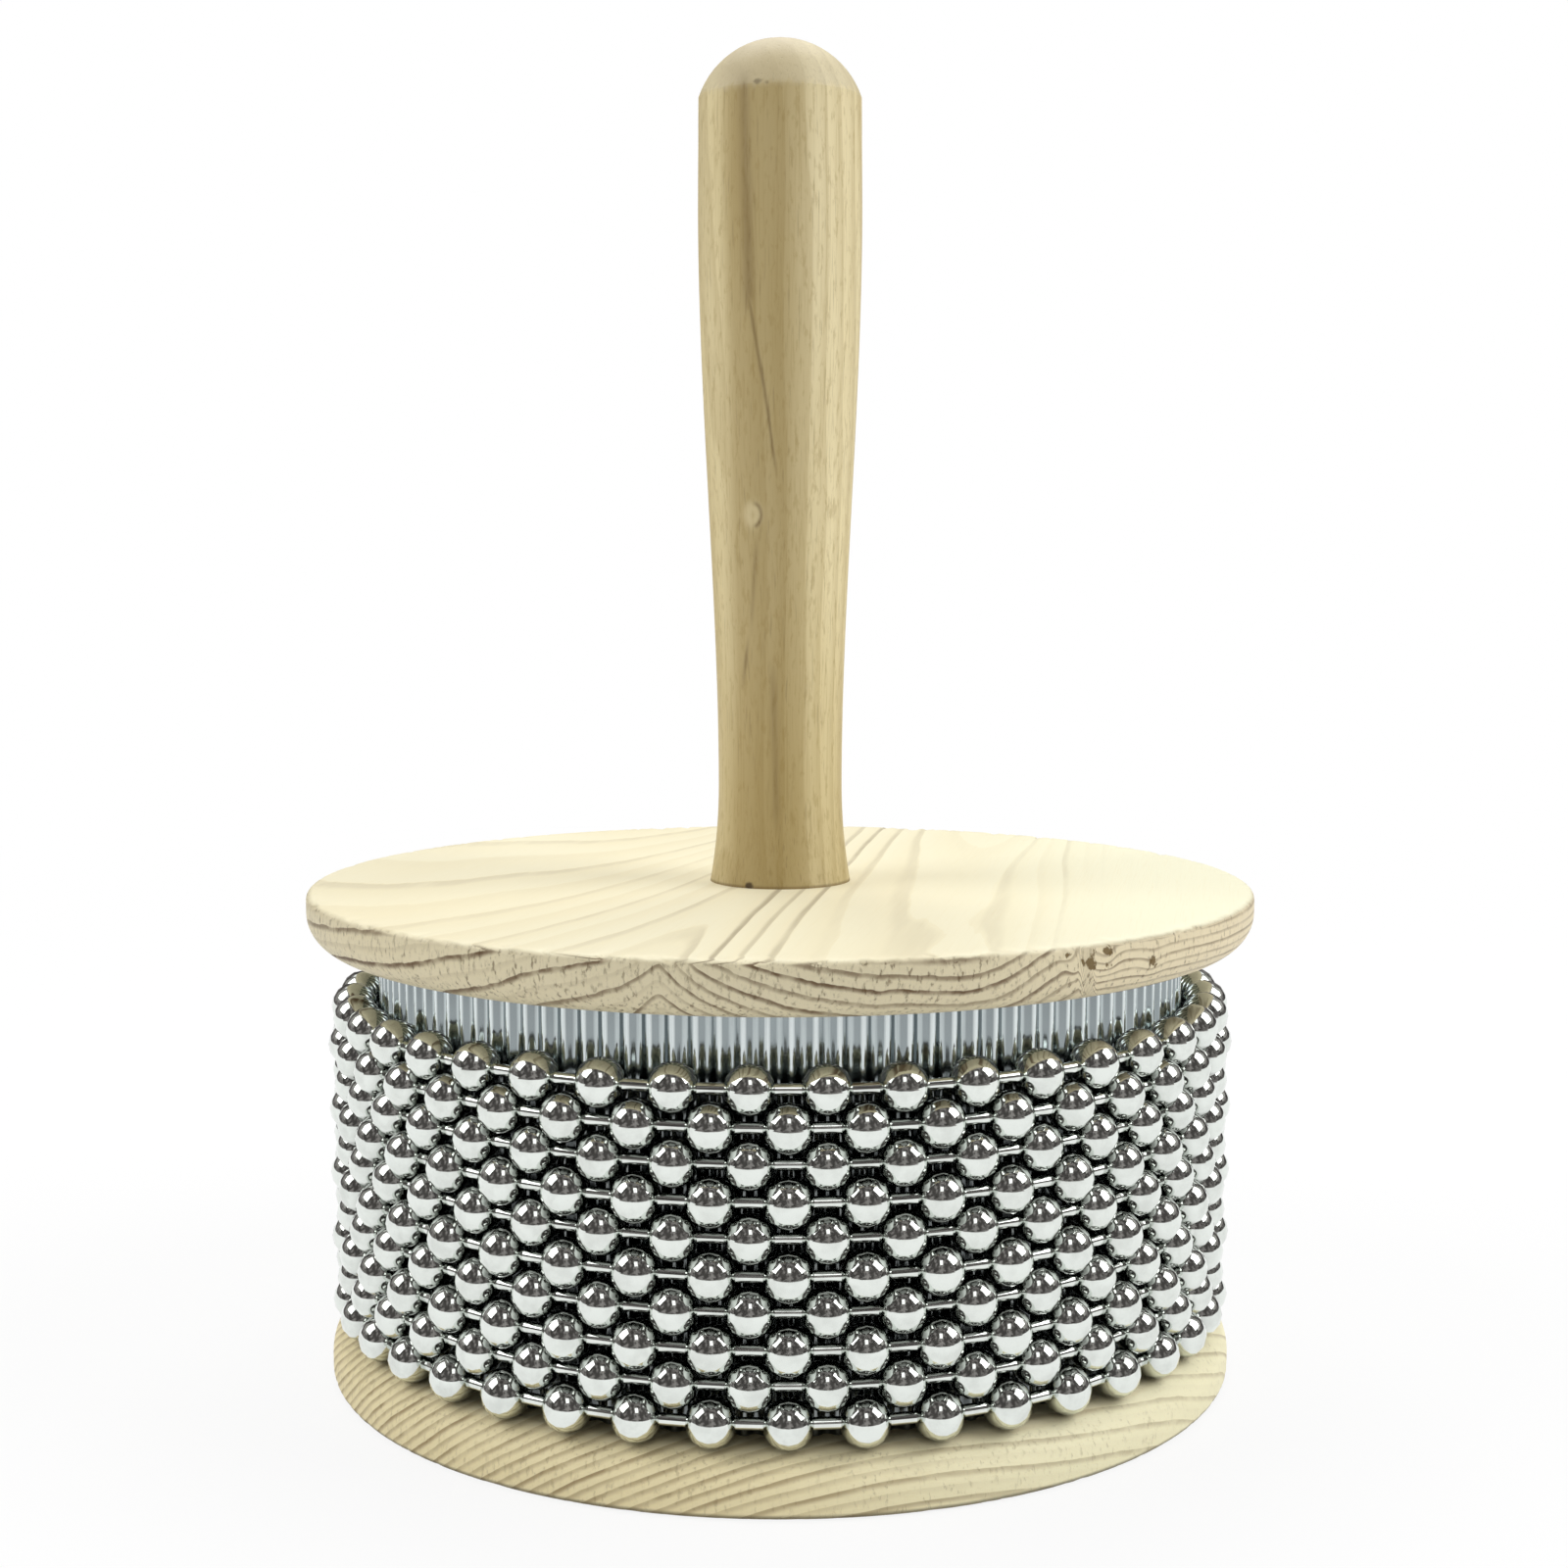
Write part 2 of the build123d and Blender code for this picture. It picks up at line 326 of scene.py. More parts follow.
def pineMaterial(name, look):
    mat, wire, shader = newMaterial(name)
    at = pineBoard(wire, look)
    rings, knots = growthRings(wire, look, at)
    part, lines = ringLines(wire, look, at, rings)
    early = part.step(*pineSpan["early"]) * at.quiet
    patches = at.patches.step(*pineSpan["patches"]).blend(pineCoat["leastPits"], 1.0)
    pits = at.tears.step(*pineSpan["pits"]) * at.rim * patches
    torn = at.tears.step(*pineSpan["torn"]) * at.rim * look["torn"]
    # the next board, and the right of the rim paler, partly painted light from the right
    paler = (at.second * pineCoat["second"]).highest(at.paleLitSide * at.rim * pineCoat["paleRim"])
    layers = [
        (early * pineCoat["early"] + at.slow.centred() * pineCoat["slow"] + pineCoat["warm"], look["warm"]),
        (at.rim * pineCoat["rim"], look["rim"]),
        (torn * pineCoat["torn"], look["pit"]),
        (paler, look["second"]),
        # right of the face paler, partly painted light from the right
        (at.paleLitSide * at.face * pineCoat["paleFace"], look["paleFace"]),
        (at.fibres.step(*pineSpan["fibres"]) * pineCoat["fibres"], look["warm"]),
        (lines, look["line"]),
        (pits * look["torn"], look["pit"]),
        (knots * pineCoat["knots"], look["knot"]),
    ]
    if "contactShadow" in look:  # painted contact shadow: a dark line where the rim meets the table
        paintedContact = (1.0 - at.up.step(*look["contactShadowHeight"])) * at.out.step(*look["contactShadowRadius"])
        layers.append((paintedContact * pineCoat["contactShadow"], look["contactShadow"]))
    roughness = look["gloss"] + at.fibres * pineRelief["roughFibres"] + lines * pineRelief["roughLines"]
    height = at.fibres * at.rim.blend(pineRelief["faceFibres"], pineRelief["rimFibres"])
    height = height - pits * pineRelief["pits"] - lines * pineRelief["lines"] - knots * pineRelief["knots"]
    finishWith(wire, shader, paint(wire, look["pale"], layers), roughness, height, pineRelief["bump"])
    shader.inputs["Specular IOR Level"].default_value = pineRelief["specular"]
    return mat


# turned hardwood of the handle: long fibre, a darker heart up the front that is partly painted shade, fine
# streaks and one healed knot
handleWood = {
    "pale": tone(240, 227, 186), "body": tone(214, 196, 144), "dark": tone(154, 129, 68),
    "streak": tone(112, 88, 50), "spot": tone(70, 52, 30), "dome": tone(212, 201, 170),
    "seat": 63.345, "domeFrom": 164.9, "ringLean": (0.8, 0.45, 0.012), "ringPitch": 2.4, "wander": 6.0,
    # on the front: x and height of the low end, x and height of the high end, half width, strength
    "streaks": [(-3.9, 138.0, -4.4, 166.0, 0.75, 0.42), (-0.6, 118.0, -3.9, 139.0, 0.22, 0.55),
                (-4.7, 91.0, -4.2, 95.0, 0.26, 0.60), (-0.5, 72.0, -0.9, 92.0, 0.50, 0.32),
                (-3.6, 98.0, -3.0, 108.0, 0.30, 0.30)],
    # x, y, height, radius and strength
    "spots": [(-4.2, -8.4, 63.7, 0.75, 0.9), (-2.8, -10.0, 165.2, 0.62, 0.5), (-1.6, -10.2, 165.0, 0.4, 0.35)],
    "spotStretch": (0.8, 1.0, 1.2), "spotCore": 0.4,
    # x, y, height and radius
    "knot": (-3.5, -8.8, 111.5, 1.1), "knotStretch": (1.0, 1.0, 0.75),
    "barkWidth": 0.24, "scarAt": 0.6, "scarWidth": 0.7,
}
handleNoise = {
    "slow": ((0.10, 0.10, 0.012), 2.0), "middle": ((0.35, 0.35, 0.02), 2.0), "pores": ((3.2, 3.2, 0.16), 1.5),
    "fibres": ((4.0, 4.0, 0.06), 3.0, 0.65), "flecks": ((1.7, 1.7, 0.45), 3.0, 0.6),
}
handleSpan = {
    "late": (0.2, 0.9), "lineEnd": (0.92, 1.0), "front": (-6.0, 2.0), "heartShadeLeft": (-8.0, -5.4),
    "heartShadeRight": (0.0, 5.4), "streakEnd": (-2.5, 2.0), "bark": (-0.2, 0.8), "pores": (0.62, 0.74),
    "fibres": (0.5, 0.7), "flecks": (0.52, 0.68), "handled": (0.0, 45.0), "sanded": (-0.5, 0.9),
    "seat": (0.15, 0.5),
}
# how far the noises push lines aside, in millimetres
handleSway = {"rings": 1.1, "heartAndShade": 2.5, "streaks": 0.7, "sanded": 2.0}
handleCoat = {"body": 0.45, "slow": 1.6, "late": 0.24, "heartAndShade": 0.62, "handled": 0.26, "fibres": 0.28,
              "flecks": 0.30, "pores": 0.22, "sanded": 0.5, "seat": 0.55, "scar": 0.4,
              "streaks": (0.6, 1.4), "bark": (0.2, 1.1)}
handleRelief = {"fibres": 0.4, "pores": 0.6, "streaks": 0.5, "bump": (0.3, 0.00016), "gloss": 0.42,
                "roughFibres": 0.2, "specular": 0.4}


def handleMaterial(name, look):
    mat, wire, shader = newMaterial(name)
    spot = millimetres(wire)
    x, y, z = spot.split()
    at = SimpleNamespace(**clouds(wire, spot, handleNoise))
    field = spot.dot(look["ringLean"]) + at.slow.centred() * look["wander"]
    field = field + at.middle.centred() * handleSway["rings"]
    part = wire.sum("FRACT", field / look["ringPitch"])
    late = part.step(*handleSpan["late"]) * (1.0 - part.step(*handleSpan["lineEnd"]))
    front = 1.0 - y.step(*handleSpan["front"])
    # a darker band up the front's middle: partly heartwood, partly painted shade where the front gets less
    # light than the sides
    lane = x + at.slow.centred() * handleSway["heartAndShade"]
    heartAndShade = lane.step(*handleSpan["heartShadeLeft"]) * (1.0 - lane.step(*handleSpan["heartShadeRight"])) * front
    streaks = []
    for lowX, lowZ, highX, highZ, width, strength in look["streaks"]:
        lean = (highX - lowX) / (highZ - lowZ)
        lane = x - lowX - (z - lowZ) * lean + at.middle.centred() * handleSway["streaks"]
        ends = (z - lowZ).step(*handleSpan["streakEnd"]) * (1.0 - (z - highZ).step(*handleSpan["streakEnd"]))
        uneven = at.flecks.blend(*handleCoat["streaks"])
        streaks.append(lane.band(0.0, width) * ends * front * strength * uneven)
    streak = strongest(streaks)
    holes = []
    for *place, radius, strength in look["spots"]:
        far = spot.farFrom(place, look["spotStretch"]) + at.flecks.centred() * radius
        holes.append((1.0 - far.step(radius * look["spotCore"], radius)) * strength)
    hole = strongest(holes)
    *knot, knotRadius = look["knot"]
    far = spot.farFrom(knot, look["knotStretch"])
    crescent = (x - knot[0]).step(*handleSpan["bark"])  # bark shows on the knot's right
    bark = far.band(knotRadius, look["barkWidth"]) * crescent * at.flecks.blend(*handleCoat["bark"])
    scar = far.band(knotRadius * look["scarAt"], look["scarWidth"]) * handleCoat["scar"]
    pores = at.pores.step(*handleSpan["pores"])
    handled = (z - look["seat"]).step(*handleSpan["handled"], handleCoat["handled"], 0.0)
    sanded = z - look["domeFrom"] + (at.flecks.centred() + at.slow.centred()) * handleSway["sanded"]
    paintedContact = 1.0 - (z - look["seat"]).step(*handleSpan["seat"])  # painted contact shadow in the corner on the disc
    colour = paint(wire, look["pale"], [
        (at.slow.centred() * handleCoat["slow"] + handleCoat["body"], look["body"]),
        (late * handleCoat["late"], look["dark"]),
        (heartAndShade * handleCoat["heartAndShade"], look["dark"]),
        (handled, look["dark"]),
        (at.fibres.step(*handleSpan["fibres"]) * handleCoat["fibres"], look["dark"]),
        (at.flecks.step(*handleSpan["flecks"]) * handleCoat["flecks"], look["dark"]),
        (pores * handleCoat["pores"], look["streak"]),
        (sanded.step(*handleSpan["sanded"]) * handleCoat["sanded"], look["dome"]),
        (paintedContact * handleCoat["seat"], look["streak"]),
        (scar, look["pale"]),
        (streak.highest(bark), look["streak"]),
        (hole, look["spot"]),
    ])
    height = at.fibres * handleRelief["fibres"] - pores * handleRelief["pores"]
    height = height - streak * handleRelief["streaks"] - bark + scar - hole
    roughness = handleRelief["gloss"] + at.fibres * handleRelief["roughFibres"]
    finishWith(wire, shader, colour, roughness, height, handleRelief["bump"])
    shader.inputs["Specular IOR Level"].default_value = handleRelief["specular"]
    return mat


# painted shade darkens what looks away from the outside of the loops and what faces up or down, where the balls
# shade each other
chainSteel = {"colour": tone(232, 237, 232), "haze": tone(206, 210, 205), "shadeColour": tone(70, 70, 66),
              "gloss": 0.035, "smear": 0.06, "marks": 1.5, "paintedShade": 0.68, "shadeTop": (47.8, 49.3),
              "ring": 56.2, "lowRow": 10.0, "rowPitch": 4.205, "link": (0.9, 1.2), "linkShade": 0.25}
screwSteel = {"colour": tone(196, 190, 174), "haze": tone(168, 160, 142), "shadeColour": tone(110, 100, 80),
              "gloss": 0.28, "smear": 0.20, "marks": 4.0, "paintedShade": 0.2, "shadeTop": (200.0, 201.5)}
steelSpan = {"haze": (0.35, 0.75), "smear": (0.4, 0.8), "hidden": (0.10, 0.70), "level": (0.60, 0.84)}
steelCoat = {"hazeNoise": ((0.35, 0.35, 0.35), 3.0, 0.6), "markNoise": (2.0, 0.6), "haze": 0.6,
             "hidden": 0.45, "hiddenSway": 0.3, "level": 0.65, "levelSway": 0.2,
             "roughMarks": 0.04, "bump": (0.06, 0.00005)}


def steelMaterial(name, look):
    mat, wire, shader = newMaterial(name)
    spot = millimetres(wire)
    x, y, z = spot.split()
    haze = cloud(wire, spot, *steelCoat["hazeNoise"])
    marks = cloud(wire, spot, (look["marks"],) * 3, *steelCoat["markNoise"])
    faces = wire.make("ShaderNodeTexCoord", out="Normal")
    outward = wire.vec("NORMALIZE", wire.vec("MULTIPLY", spot, (1.0, 1.0, 0.0)))
    facing = faces.dot(outward) + haze.centred() * steelCoat["hiddenSway"]
    level = wire.sum("ABSOLUTE", faces.split()[2]) + haze.centred() * steelCoat["levelSway"]
    # painted shade on the balls' hidden sides and on faces turned up or down towards the next row
    paintedShade = (1.0 - facing.step(*steelSpan["hidden"])) * steelCoat["hidden"]
    paintedShade = (paintedShade + level.step(*steelSpan["level"]) * steelCoat["level"]) * look["paintedShade"]
    # the painted shade fades out over the top row's upper half
    paintedShade = paintedShade * (1.0 - z.step(*look["shadeTop"]))
    if "ring" in look:  # distance from the nearest row's circle: the links keep their shine, with less painted shade
        half = look["rowPitch"] / 2
        beside = wire.sum("FLOORED_MODULO", z - (look["lowRow"] - half), look["rowPitch"]) - half
        fromRing = beside.hypot(x.hypot(y) - look["ring"])
        paintedShade = paintedShade * fromRing.step(*look["link"], look["linkShade"], 1.0)
    colour = paint(wire, look["colour"], [(haze.step(*steelSpan["haze"]) * steelCoat["haze"], look["haze"]),
                                          (paintedShade, look["shadeColour"])])
    smear = haze.step(*steelSpan["smear"]) * look["smear"]
    roughness = look["gloss"] + smear + marks * steelCoat["roughMarks"]
    finishWith(wire, shader, colour, roughness, marks, steelCoat["bump"])
    shader.inputs["Metallic"].default_value = 1.0
    return mat


# sleeve: painted highlights on ridges and valleys, flanks duller, and painted shade where the chain lies on it
sleeveSteel = {
    "valley": tone(190, 199, 200), "flank": tone(150, 159, 161), "ridge": tone(222, 230, 230),
    "black": tone(40, 38, 37),
    "radius": 52.9, "depth": 0.7, "places": (0.04, 0.22, 0.80, 0.96), "chainTop": (46.8, 49.3), "topSway": 3.0,
    "markNoise": ((5.0, 5.0, 0.06), 2.0, 0.6), "stainNoise": ((0.5, 0.5, 0.25), 3.0, 0.6),
    "markSpan": (0.5, 0.75), "marks": 0.3, "chainShade": 0.72,
    "gloss": 0.10, "roughStain": 0.08, "roughBlack": 0.02, "bump": (0.05, 0.00005),
}


def sleeveMaterial(name, look):
    mat, wire, shader = newMaterial(name)
    spot = millimetres(wire)
    x, y, z = spot.split()
    share = (x.hypot(y) - (look["radius"] - look["depth"])) / look["depth"]
    # painted highlights: ridges and valleys lighter than the flanks, by place across each rib
    ribHighlights = share.ramp(list(zip(look["places"], (look["valley"], look["flank"], look["flank"], look["ridge"]))))
    marks = cloud(wire, spot, *look["markNoise"])
    stain = cloud(wire, spot, *look["stainNoise"])
    # painted shade: the sleeve turns near black below the top of the chain
    under = 1.0 - (z + stain.centred() * look["topSway"]).step(*look["chainTop"])
    colour = paint(wire, ribHighlights, [(marks.step(*look["markSpan"]) * look["marks"], look["flank"]),
                                (under * look["chainShade"], look["black"])])
    roughness = look["gloss"] + stain * look["roughStain"] + under * look["roughBlack"]
    finishWith(wire, shader, colour, roughness, marks, look["bump"])
    shader.inputs["Metallic"].default_value = 1.0
    return mat


topPineMat = pineMaterial("topDiscPine", topPine)
bottomPineMat = pineMaterial("bottomDiscPine", bottomPine)
corePineMat = pineMaterial("corePine", corePine)
handleMat = handleMaterial("handleHardwood", handleWood)
chainMat = steelMaterial("chainChrome", chainSteel)
sleeveMat = sleeveMaterial("sleeveSteel", sleeveSteel)
screwMat = steelMaterial("screwSteel", screwSteel)
print("materials:", len(bpy.data.materials))


# turned pieces: an outline of (radius, height) in millimetres, spun about the axis
def arcOf(centreR, centreZ, radius, fromAngle, toAngle, count):
    angles = [math.radians(fromAngle + (toAngle - fromAngle) * n / count) for n in range(count + 1)]
    return [(centreR + radius * math.cos(a), centreZ + radius * math.sin(a)) for a in angles]


def lathe(name, outline, size, material, roughen):
    mesh = bpy.data.meshes.new(name)
    build = bmesh.new()
    segments = size["segments"]
    turns = [2 * math.pi * n / segments for n in range(segments)]
    rings = []
    for radius, height in outline:
        if radius == 0.0:
            rings.append([build.verts.new((0.0, 0.0, height * mm))])
            continue
        out = radius * mm
        rings.append([build.verts.new((out * math.cos(a), out * math.sin(a), height * mm)) for a in turns])
    pairs = list(zip(rings, rings[1:]))
    if len(rings[0]) > 1 and len(rings[-1]) > 1:
        pairs.append((rings[-1], rings[0]))
    for lower, upper in pairs:
        for n in range(segments):
            after = (n + 1) % segments
            corners = [lower[n % len(lower)], lower[after % len(lower)],
                       upper[after % len(upper)], upper[n % len(upper)]]
            build.faces.new(list(dict.fromkeys(corners)))
    bmesh.ops.recalc_face_normals(build, faces=build.faces)
    for face in build.faces:
        face.smooth = True
    for edge in build.edges:
        if len(edge.link_faces) == 2 and edge.calc_face_angle() > math.radians(size["sharp"]):
            edge.smooth = False
    for vert in build.verts:
        vert.co += roughen(vert.co.copy(), vert.normal.copy())
    build.to_mesh(mesh)
    build.free()
    mesh.materials.append(material)
    piece = bpy.data.objects.new(name, mesh)
    scene.collection.objects.link(piece)
    return piece


topDisc = {"radius": 61.98, "low": 56.345, "high": 63.345, "bore": 6.1, "arris": 0.9, "round": 4.5,
           "faceRings": (9.0, 24.0, 42.0, 54.0, 59.0), "underRing": 40.0, "arrisSteps": 6, "roundSteps": 14,
           "segments": 720, "sharp": 32.0, "chip": 1.2}
bottomDisc = {"radius": 59.6, "low": 0.0, "high": 7.0, "bore": 2.6, "mouth": 5.3, "arris": 0.9, "round": 4.5,
              "faceRings": (30.0, 48.0), "underRing": 40.0, "arrisSteps": 6, "roundSteps": 14,
              "segments": 640, "sharp": 32.0, "chip": 0.2}
handleShape = {"foot": (9.3, 63.345), "waist": (8.15, 76.345), "belly": (10.65, 150.345),
               "shoulder": (10.55, 164.945), "apex": 172.445, "tenon": (6.0, 38.345), "pilot": (2.6, 72.4),
               "domeSteps": 14, "barrelSteps": 5, "bodySteps": 30, "footSteps": 8,
               "segments": 128, "sharp": 15.0}
# reach in millimetres; scale and threshold of each noise
tearing = {"reach": 1.6, "coarse": (0.7, 0.15), "fine": (2.1, 0.1), "fineShare": 0.5, "sideGrain": 0.35}
turning = {"depth": 0.02, "from": 64.0, "scale": 0.55, "seed": 3.1}


def chipped(size, rimHeight, grainTurn):  # torn grain along the sharp edge
    turn = math.radians(grainTurn)
    grain = Vector((math.sin(turn), math.cos(turn), 0.0))

    def torn(spot, scale, threshold):
        return max(0.0, noise.noise(spot * scale) - threshold)

    def shift(place, normal):
        spot = place / mm
        away = math.hypot(math.hypot(spot.x, spot.y) - size["radius"], spot.z - rimHeight)
        near = max(0.0, 1.0 - away / tearing["reach"])
        if near == 0.0:
            return Vector((0.0, 0.0, 0.0))
        endGrain = abs(Vector((spot.x, spot.y, 0.0)).normalized().dot(grain))
        tear = torn(spot, *tearing["coarse"]) + tearing["fineShare"] * torn(spot, *tearing["fine"])
        return -normal * (near * tear * size["chip"] * (tearing["sideGrain"] + endGrain) * mm)
    return shift


def turningMarks(place, normal):  # faint rings left by the tool
    high = place.z / mm
    mark = min(0.0, noise.noise(Vector((0.0, turning["seed"], high * turning["scale"]))))
    return normal * (turning["depth"] * mm * mark if high > turning["from"] else 0.0)


def topOutline(size):
    radius, low, high, arris, soft = (size[key] for key in ("radius", "low", "high", "arris", "round"))
    face = [(ring, high) for ring in (size["bore"], *size["faceRings"])]
    edge = arcOf(radius - arris, high - arris, arris, 90, 0, size["arrisSteps"])
    middle = [(radius, (high - arris + low + soft) / 2)]
    under = arcOf(radius - soft, low + soft, soft, 0, -90, size["roundSteps"])
    return face + edge + middle + under + [(size["underRing"], low), (size["bore"], low)]


def bottomOutline(size):
    radius, low, high, arris, soft = (size[key] for key in ("radius", "low", "high", "arris", "round"))
    sink = size["mouth"] - size["bore"]
    face = [(size["bore"], low + sink)] + [(ring, high) for ring in (size["bore"], *size["faceRings"])]
    over = arcOf(radius - soft, high - soft, soft, 90, 0, size["roundSteps"])
    edge = arcOf(radius - arris, low + arris, arris, 0, -90, size["arrisSteps"])
    return face + over + edge + [(size["underRing"], low), (size["mouth"], low)]


def handleOutline(size):
    (footR, footZ), (waistR, waistZ) = size["foot"], size["waist"]
    (bellyR, bellyZ), (shoulderR, shoulderZ) = size["belly"], size["shoulder"]
    (tenonR, tenonZ), (pilotR, pilotZ) = size["tenon"], size["pilot"]
    rise = size["apex"] - shoulderZ
    ball = (shoulderR ** 2 + rise ** 2) / (2 * rise)
    start = math.degrees(math.asin((rise - ball) / -ball))
    dome = arcOf(0.0, size["apex"] - ball, ball, 90, start, size["domeSteps"])
    dome[0] = (0.0, size["apex"])
    barrel = []
    for n in range(1, size["barrelSteps"]):
        t = n / size["barrelSteps"]
        barrel.append((shoulderR + (bellyR - shoulderR) * t, shoulderZ + (bellyZ - shoulderZ) * t))
    body = []
    for n in range(size["bodySteps"] + 1):
        t = n / size["bodySteps"]
        body.append((bellyR + (waistR - bellyR) * t * t * (3 - 2 * t), bellyZ + (waistZ - bellyZ) * t))
    flare = ((waistZ - footZ) ** 2 + (footR - waistR) ** 2) / (2 * (footR - waistR))
    foot = []
    for n in range(1, size["footSteps"] + 1):
        drop = (waistZ - footZ) * n / size["footSteps"]
        foot.append((waistR + flare - math.sqrt(flare ** 2 - drop ** 2), waistZ - drop))
    peg = [(tenonR, footZ), (tenonR, tenonZ), (pilotR, tenonZ), (pilotR, pilotZ), (0.0, pilotZ)]
    return dome + barrel + body + foot + peg


topPiece = lathe("topDisc", topOutline(topDisc), topDisc, topPineMat,
                 chipped(topDisc, topDisc["high"], topPine["grainTurn"]))
bottomPiece = lathe("bottomDisc", bottomOutline(bottomDisc), bottomDisc, bottomPineMat,
                    chipped(bottomDisc, bottomDisc["low"], bottomPine["grainTurn"]))
handlePiece = lathe("turnedHandle", handleOutline(handleShape), handleShape, handleMat, turningMarks)
print("turned pieces done")


# geometry node trees for what repeats
def newTree(name, inputs):
    tree = bpy.data.node_groups.new(name, "GeometryNodeTree")
    for label, kind in inputs.items():
        tree.interface.new_socket(label, in_out="INPUT", socket_type="NodeSocket" + kind)
    tree.interface.new_socket("Geometry", in_out="OUTPUT", socket_type="NodeSocketGeometry")
    source = tree.nodes.new("NodeGroupInput")
    return tree, Wire(tree), {label: Wire(tree, source.outputs[label]) for label in inputs}


def endTree(wire, geometry, material):
    real = wire.make("GeometryNodeRealizeInstances", {"Geometry": geometry})
    smooth = wire.make("GeometryNodeSetShadeSmooth", {"Geometry": real})
    dressed = wire.make("GeometryNodeSetMaterial", {"Geometry": smooth, "Material": material})
    wire.make("NodeGroupOutput", {"Geometry": dressed})


def grow(name, tree, values, finish=None, crease=50.0):  # runs a tree and keeps its result as a plain mesh
    piece = bpy.data.objects.new(name, bpy.data.meshes.new(name + "Seed"))
    scene.collection.objects.link(piece)
    modifier = piece.modifiers.new("grow", "NODES")
    modifier.node_group = tree
    for item in tree.interface.items_tree:
        if item.in_out == "INPUT":
            modifier[item.identifier] = values[item.name]
    if finish:
        finish(piece)
    bpy.context.view_layer.update()
    result = piece.evaluated_get(bpy.context.evaluated_depsgraph_get())
    mesh = bpy.data.meshes.new_from_object(result)
    piece.modifiers.clear()
    piece.data = mesh
    mesh.name = name
    mesh.set_sharp_from_angle(angle=math.radians(crease))  # caps and cut ends stay crisp
    return piece


# bite: how far a link's two ends reach into its balls, together
chain = {"loops": 10, "balls": 41, "ball": 5.95, "wire": 1.45, "bite": 1.6, "innerRing": 56.1, "stagger": 0.4,
         "lowRow": 10.0, "rowPitch": 4.205, "phase": 1.0, "sway": 0.02, "seed": 7,
         "linkSides": 12, "ballSteps": 5}


def chainTree():
    tree, wire, given = newTree("chainLoop", {
        "Ball Count": "Int", "Ball Diameter": "Float", "Ring Radius": "Float", "Row Height": "Float",
        "Start Angle": "Float", "Wire Diameter": "Float", "Link Length": "Float", "Sway": "Float",
        "Seed": "Int", "Chain Material": "Material"})

    def ring(radius, start):
        circle = wire.make("GeometryNodeMeshCircle", {"Vertices": given["Ball Count"], "Radius": radius},
                           {"fill_type": "NONE"})
        lift = wire.join(Z=given["Row Height"])
        return wire.make("GeometryNodeTransform",
                         {"Geometry": circle, "Translation": lift, "Rotation": wire.join(Z=start)})

    place = wire.make("GeometryNodeInputPosition")
    x, y = place.split()[:2]
    bearing = wire.sum("ARCTAN2", y, x)
    # ball: a cube's grid blown up to a sphere, evenly spaced
    steps = chain["ballSteps"]
    cube = wire.make("GeometryNodeMeshCube", {"Size": (1.0, 1.0, 1.0), "Vertices X": steps,
                                              "Vertices Y": steps, "Vertices Z": steps})
    unit = wire.vec("NORMALIZE", wire.vec("TANGENT", place.scaled(math.pi / 2)))
    shell = unit.scaled(given["Ball Diameter"] / 2)
    ball = wire.make("GeometryNodeSetPosition", {"Geometry": cube, "Position": shell})
    # balls lie a little unevenly along the loop
    sway = wire.join(X=given["Sway"], Y=given["Sway"], Z=given["Sway"])
    loose = wire.make("FunctionNodeRandomValue", {0: sway.scaled(-1.0), 1: sway, "Seed": given["Seed"]},
                      {"data_type": "FLOAT_VECTOR"})
    seats = wire.make("GeometryNodeSetPosition",
                      {"Geometry": ring(given["Ring Radius"], given["Start Angle"]), "Offset": loose})
    balls = wire.make("GeometryNodeInstanceOnPoints",
                      {"Points": seats, "Instance": ball, "Rotation": wire.join(Z=bearing)})
    # links: short wire bars between the balls
    halfStep = math.pi / given["Ball Count"]
    bar = wire.make("GeometryNodeMeshCylinder",
                    {"Vertices": chain["linkSides"], "Radius": given["Wire Diameter"] / 2,
                     "Depth": given["Link Length"]}, {"fill_type": "NGON"})
    linkRing = ring(given["Ring Radius"] * wire.sum("COSINE", halfStep), given["Start Angle"] + halfStep)
    lying = wire.join(X=math.pi / 2, Z=bearing)
    links = wire.make("GeometryNodeInstanceOnPoints", {"Points": linkRing, "Instance": bar, "Rotation": lying})
    joined = wire.make("GeometryNodeJoinGeometry", {"Geometry": balls})
    wire.feed(joined.socket.node.inputs["Geometry"], links)
    endTree(wire, joined, given["Chain Material"])
    return tree


loopTree = chainTree()
loopPieces = []
step = 360 / chain["balls"]
for row in range(chain["loops"]):
    outer = row % 2 == 0
    ringRadius = chain["innerRing"] + (chain["stagger"] if outer else 0.0)
    start = -90 + chain["phase"] + (0.0 if outer else step / 2)
    chord = 2 * ringRadius * math.sin(math.radians(step / 2))
    loopPieces.append(grow(f"chainLoop{row + 1:02d}", loopTree, {
        "Ball Count": chain["balls"], "Ball Diameter": chain["ball"] * mm, "Ring Radius": ringRadius * mm,
        "Row Height": (chain["lowRow"] + row * chain["rowPitch"]) * mm, "Start Angle": math.radians(start),
        "Wire Diameter": chain["wire"] * mm, "Link Length": (chord - chain["ball"] + chain["bite"]) * mm,
        "Sway": chain["sway"] * mm, "Seed": chain["seed"] + row, "Chain Material": chainMat}))
print("chain loops:", len(loopPieces), "faces each:", len(loopPieces[0].data.polygons))


sleeve = {"ridge": 52.9, "ribs": 123, "depth": 0.7, "low": 7.2, "high": 56.145,
          "sheet": 0.4, "seam": 0.4, "steps": 10}


